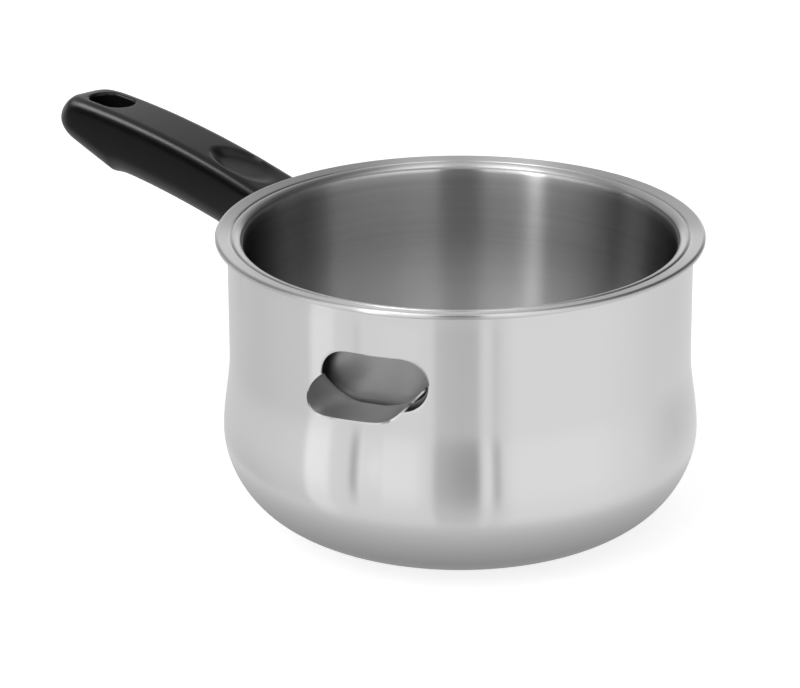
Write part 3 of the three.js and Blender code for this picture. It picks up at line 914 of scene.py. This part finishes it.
def grip_section(x):
    """Half width, low and high edge, and the two edge radii of the grip's section at x."""
    into_tail = max(x - (tail_end - tail_round), 0) / tail_round
    left = (1 - into_tail ** tail_squareness) ** (1 / tail_squareness)
    to_root = min(max((grip_root + grip_flare - x) / grip_flare, 0), 1)
    half = left * (grip_width + (grip_root_width - grip_width) * to_root ** 2) / 2
    low = grip_bottom(x)
    tall = (grip_arch(x) - low) * left
    soften = max(x - (tail_end - tail_soften), 0) / tail_soften
    top_radius = top_edge_radius + (tail_edge_radius - top_edge_radius) * soften ** 2
    return half, low, low + tall, min(top_radius, half, tall / 2), min(bottom_edge_radius, half, tall / 2)


def dish_drop(x, y):
    """How deep the thumb dish is under the grip's top line. It is deeper and steeper towards the tail."""
    along = 2 * (x - dish_middle) / dish_length
    out = math.hypot(along, 2 * y / dish_width)
    if out >= 1:
        return 0
    edge = min((1 - out) / dish_edge, 1)
    return dish_depth * edge * edge * (3 - 2 * edge) * (1 + dish_lean * along)


def top_height(x, y):
    """Height of the grip's upper skin over a point."""
    half, low, high, top_radius, low_radius = grip_section(x)
    past = max(abs(y) - (half - top_radius), 0)
    return high - top_radius + math.sqrt(max(top_radius ** 2 - past ** 2, 0)) - dish_drop(x, y)


def low_height(x, y):
    """Height of the grip's lower skin over a point."""
    half, low, high, top_radius, low_radius = grip_section(x)
    past = max(abs(y) - (half - low_radius), 0)
    return low + low_radius - math.sqrt(max(low_radius ** 2 - past ** 2, 0))


def grip_ring(x):
    """Points of one section, from the left end of the flat underside round to where it starts."""
    half, low, high, top_radius, low_radius = grip_section(x)
    low_y = half - low_radius
    low_z = low + low_radius
    top_y = half - top_radius
    top_z = high - top_radius
    points = [(low_y * (2 * i / low_flat_steps - 1), low) for i in range(low_flat_steps)]
    points += arc(low_y, low_z, low_radius, low_radius, -90, 0, edge_steps)[:-1]
    points += [(half, low_z + (top_z - low_z) * i / side_steps) for i in range(side_steps)]
    points += arc(top_y, top_z, top_radius, top_radius, 0, 90, edge_steps)[:-1]
    for i in range(flat_steps):
        y = top_y * (1 - 2 * i / flat_steps)
        points.append((y, high - dish_drop(x, y)))
    points += arc(-top_y, top_z, top_radius, top_radius, 90, 180, edge_steps)[:-1]
    points += [(-half, top_z - (top_z - low_z) * i / side_steps) for i in range(side_steps)]
    points += arc(-low_y, low_z, low_radius, low_radius, 180, 270, edge_steps)[:-1]
    return points


def on_handle(x, y, z):
    """The handle lies along -X, so its own coordinates are turned half round the axis."""
    return (-x, -y, z)


round_start = tail_end - tail_round
body_steps = round((round_start - grip_root) / body_step)
stations = [grip_root + (round_start - grip_root) * i / body_steps for i in range(body_steps)]
for i in range(tail_steps + 1):
    stations.append(round_start + (tail_round - tail_blunt) * math.sin(math.pi / 2 * i / tail_steps))

bm = bmesh.new()
rings = []
for x in stations:
    ring = []
    ease = max(1 - (x - grip_root) / root_ease, 0)
    for y, z in grip_ring(x):
        hollow = (math.sqrt(grip_root ** 2 - y ** 2) - grip_root) * ease
        ring.append(bm.verts.new(on_handle(x + hollow, y, z)))
    rings.append(ring)
around = len(rings[0])


def nearest_station(x):
    """Number of the section that lies nearest to x."""
    return min(range(len(stations)), key=lambda i: abs(stations[i] - x))


def grip_patch(middle, half_length, first, last):
    """The patch of skin that a hole is opened in, between two columns of the skin."""
    return nearest_station(middle - half_length), nearest_station(middle + half_length), first, last


top_first = low_flat_steps + edge_steps + side_steps + edge_steps
low_last = low_flat_steps + low_patch_edge
hang_top_patch = grip_patch(hang_x, hang_patch_half, top_first, top_first + flat_steps)
hang_low_patch = grip_patch(hang_x, hang_patch_half, -low_patch_edge, low_last)
screw_patch = grip_patch(screw_x, screw_patch_half, -low_patch_edge, low_last)
skipped = set()
for patch in (hang_top_patch, hang_low_patch, screw_patch):
    skipped |= patch_cells(patch, around)
skin(bm, rings, skipped)
bm.faces.new(rings[-1])


def opened(patch, middle, straight, radius, height, inward, edge):
    """Eases a patch of skin to a hole, then carries on inwards through the rows of the hole's edge."""
    start, end, first, last = patch
    cells = patch_border(patch)
    border = [rings[i][j % around] for i, j in cells]
    flat = [Vector((-v.co.x - middle, -v.co.y)) for v in border]
    ways = []
    for i, j in cells:
        along = (2 * (i - start) / (end - start) - 1) * hole_spread_along
        sideways = (2 * (j - first) / (last - first) - 1) * hole_spread_across
        ways.append(Vector((along, sideways * inward)).normalized())
    loops = []
    for offset, depth in edge:
        spots = [w * obround_reach(w, straight, radius + offset) for w in ways]
        loops.append([(s.x + middle, s.y, height(s.x + middle, s.y) + inward * depth) for s in spots])
    hole_flat = [Vector((x - middle, y)) for x, y, z in loops[0]]

    def on_skin(p):
        return on_handle(p.x + middle, p.y, height(p.x + middle, p.y))

    loop = ease_to_hole(bm, border, flat, hole_flat, hole_rings, on_skin)
    for points in loops[1:]:
        next_loop = [bm.verts.new(on_handle(*p)) for p in points]
        band(bm, loop, next_loop)
        loop = next_loop
    return loop


def rounded_edge(radius, steps):
    """Offsets and depths of a hole's rounded edge, from the skin to the hole's wall."""
    turns = [math.pi / 2 * i / steps for i in range(steps + 1)]
    return [(radius * (1 - math.sin(t)), radius * (1 - math.cos(t))) for t in turns]


hang_straight = (hang_hole_length - hang_hole_width) / 2
hang_radius = hang_hole_width / 2
hang_edge = rounded_edge(hang_hole_edge, hole_edge_steps)
hang_low_edge = rounded_edge(hang_hole_low_edge, hole_edge_steps)
upper_edge = opened(hang_top_patch, hang_x, hang_straight, hang_radius, top_height, -1, hang_edge)
lower_edge = opened(hang_low_patch, hang_x, hang_straight, hang_radius, low_height, 1, hang_low_edge)
band(bm, upper_edge, lower_edge, slot=1)

tang_height = grip_arch(grip_root + tang_length / 2) - grip_depth / 2
screw_seat = tang_height - tang_thickness / 2 - fit_gap - screw_land
head_bore = washer_radius + fit_gap
shank_bore = screw_radius + fit_gap
screw_edge = rounded_edge(screw_hole_edge, screw_edge_steps)
bore = opened(screw_patch, screw_x, 0, head_bore, low_height, 1, screw_edge)
for radius, height in (
    (head_bore, screw_seat), (shank_bore, screw_seat), (shank_bore, screw_seat + screw_land / 2),
):
    next_loop = []
    for v in bore:
        way = Vector((-v.co.x - screw_x, -v.co.y)).normalized() * radius
        next_loop.append(bm.verts.new(on_handle(screw_x + way.x, way.y, height)))
    band(bm, bore, next_loop)
    bore = next_loop
bm.faces.new(bore)

socket_half = (tang_width / 2 + fit_gap, tang_thickness / 2 + fit_gap)
loop = rings[0]
for depth in (0, tang_length + fit_gap):
    next_loop = []
    for v in rings[0]:
        way = Vector((-v.co.y, v.co.z - tang_height))
        stretch = max(abs(way.x) / socket_half[0], abs(way.y) / socket_half[1])
        y, z = way.x / stretch, way.y / stretch
        x = grip_root + depth if depth else math.sqrt(grip_root ** 2 - y ** 2)
        next_loop.append(bm.verts.new(on_handle(x, y, tang_height + z)))
    band(bm, loop, next_loop)
    loop = next_loop
bm.faces.new(loop)

# Black phenolic: a hard moulded resin, nearly black, semi-gloss, with a fine grain from the mould's skin.
# The grain is drawn 0.5 mm wide, because the real one is too fine to show.
grain_width = 0.5 * mm
resin_cloud = 9 * mm

phenolic, tree = blank_material("black_phenolic")
spot = add_node(tree, "ShaderNodeTexCoord").outputs["Object"]
grain = add_node(tree, "ShaderNodeTexNoise", {
    "Vector": spot, "Scale": 1 / grain_width, "Detail": 3,
}).outputs[0]
clouds = add_node(tree, "ShaderNodeTexNoise", {
    "Vector": spot, "Scale": 1 / resin_cloud, "Detail": 4,
}).outputs[0]
mixed = add_node(tree, "ShaderNodeMix", {"Factor": 0.6, "A": grain, "B": clouds}).outputs[0]
gloss = add_node(tree, "ShaderNodeMapRange", {"Value": mixed, "To Min": 0.28, "To Max": 0.40}).outputs[0]
relief = add_node(tree, "ShaderNodeBump", {
    "Height": grain, "Strength": 0.12, "Distance": 0.02 * mm,
}).outputs[0]
tone = add_node(tree, "ShaderNodeMix", {
    "Factor": clouds, 6: linear("#060606"), 7: linear("#0a0a0b"),
}, data_type="RGBA").outputs[2]
resin = add_node(tree, "ShaderNodeBsdfPrincipled", {
    "Base Color": tone, "Roughness": gloss, "IOR": 1.38, "Normal": relief,
})
add_node(tree, "ShaderNodeOutputMaterial", {"Surface": resin.outputs[0]})

# Inside the hanging hole the resin is left dull, as from the mould's core pin, and its low IOR makes it
# reflect
# less: a darker copy of the resin that paints shade into the hole.
shaded_bore_resin, tree = blank_material("dull_phenolic_painted_shade")
spot = add_node(tree, "ShaderNodeTexCoord").outputs["Object"]
grain = add_node(tree, "ShaderNodeTexNoise", {
    "Vector": spot, "Scale": 1 / grain_width, "Detail": 3,
}).outputs[0]
gloss = add_node(tree, "ShaderNodeMapRange", {"Value": grain, "To Min": 0.85, "To Max": 0.95}).outputs[0]
# Painted shade: the low IOR darkens the wall of the hanging hole.
resin = add_node(tree, "ShaderNodeBsdfPrincipled", {
    "Base Color": linear("#060606"), "Roughness": gloss, "IOR": 1.15,
})
add_node(tree, "ShaderNodeOutputMaterial", {"Surface": resin.outputs[0]})

grip = new_piece("grip", bm, phenolic, shaded_bore_resin)
finish_mesh(grip, grip_crease)
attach(grip, "root")
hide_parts("handle_grip")


# Bracket, screw and washer: a steel saddle plate and tang on the wall, left with its mill finish, and a
# zinc-plated pan-head screw with its washer, driven up through the grip into the tang. All three keep
# their solids.

# Zinc plating: a thin bluish-grey coat over steel, bright but cloudy, with clouds about 1.5 mm wide.
zinc_cloud = 1.5 * mm

zinc, tree = blank_material("zinc_plated_steel")
spot = add_node(tree, "ShaderNodeTexCoord").outputs["Object"]
clouds = add_node(tree, "ShaderNodeTexNoise", {
    "Vector": spot, "Scale": 1 / zinc_cloud, "Detail": 4,
}).outputs[0]
gloss = add_node(tree, "ShaderNodeMapRange", {"Value": clouds, "To Min": 0.28, "To Max": 0.5}).outputs[0]
metal = add_node(tree, "ShaderNodeBsdfPrincipled", {
    "Base Color": linear("#c3c6c9"), "Metallic": 1, "Roughness": gloss,
})
add_node(tree, "ShaderNodeOutputMaterial", {"Surface": metal.outputs[0]})
refinish("handle_bracket", mill)
refinish("handle_screw", zinc)
refinish("screw_washer", zinc)
